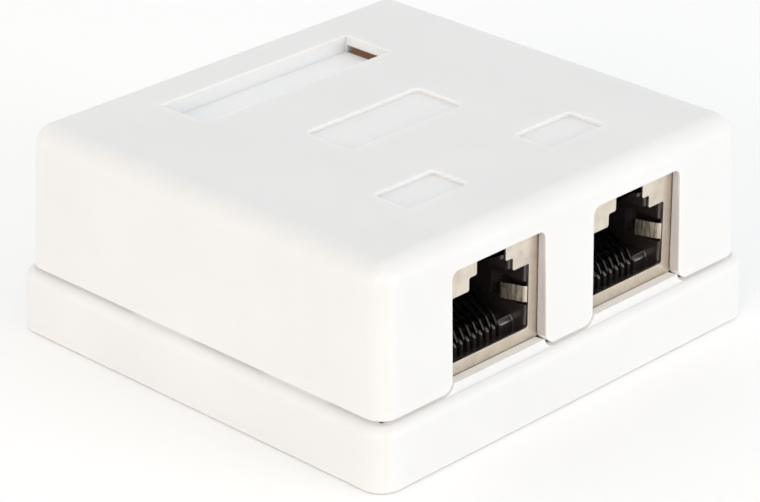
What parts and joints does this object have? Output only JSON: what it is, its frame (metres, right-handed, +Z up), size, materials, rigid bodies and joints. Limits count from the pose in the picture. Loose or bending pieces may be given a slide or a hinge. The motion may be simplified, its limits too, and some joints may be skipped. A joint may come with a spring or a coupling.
{
  "type": "surface mount jack box",
  "caption": "Low surface mount box for modular data jacks: moulded base, lift-off cover with label recess and side-by-side port windows, screened jacks and punch-down terminals inside.",
  "frame": {"origin": "on the mounting surface, under the middle of the box", "axes": "+X along the port face, -Y straight out of the ports, +Z up, away from the mounting surface"},
  "size_m": [0.06, 0.057, 0.0248],
  "materials": {
    "white_plastic": "fine satin moulding, faintly warm",
    "board_laminate": "solder-resist green, semi-gloss",
    "screw_steel": "zinc plated",
    "plate_steel": "plain plated sheet",
    "shield_metal": "nickel plated sheet, slightly grainy, warm",
    "jack_plastic": "glossy black",
    "contact_metal": "gold flashed wire, tinned blades",
    "terminal_plastic": "off-white moulding"
  },
  "bodies": {
    "base": {"base": "white_plastic", "circuit_board": "board_laminate", "board_screws": "screw_steel", "screen_plate": "plate_steel", "saddle_screws": "screw_steel", "jack_shield_left": "shield_metal", "jack_insert_left": "jack_plastic", "jack_contacts_left": "contact_metal", "cable_saddle_left": "plate_steel", "terminal_block_left_front": "terminal_plastic", "terminal_contacts_left_front": "contact_metal", "terminal_block_left_rear": "terminal_plastic", "terminal_contacts_left_rear": "contact_metal", "jack_shield_right": "shield_metal", "jack_insert_right": "jack_plastic", "jack_contacts_right": "contact_metal", "cable_saddle_right": "plate_steel", "terminal_block_right_front": "terminal_plastic", "terminal_contacts_right_front": "contact_metal", "terminal_block_right_rear": "terminal_plastic", "terminal_contacts_right_rear": "contact_metal"},
    "cover": {"cover": "white_plastic"}
  },
  "joints": [
    {"name": "cover_lift", "type": "slide", "parent": "base", "child": "cover", "axis": [0, 0, 1], "range_m": [0, 0.022]}
  ]
}
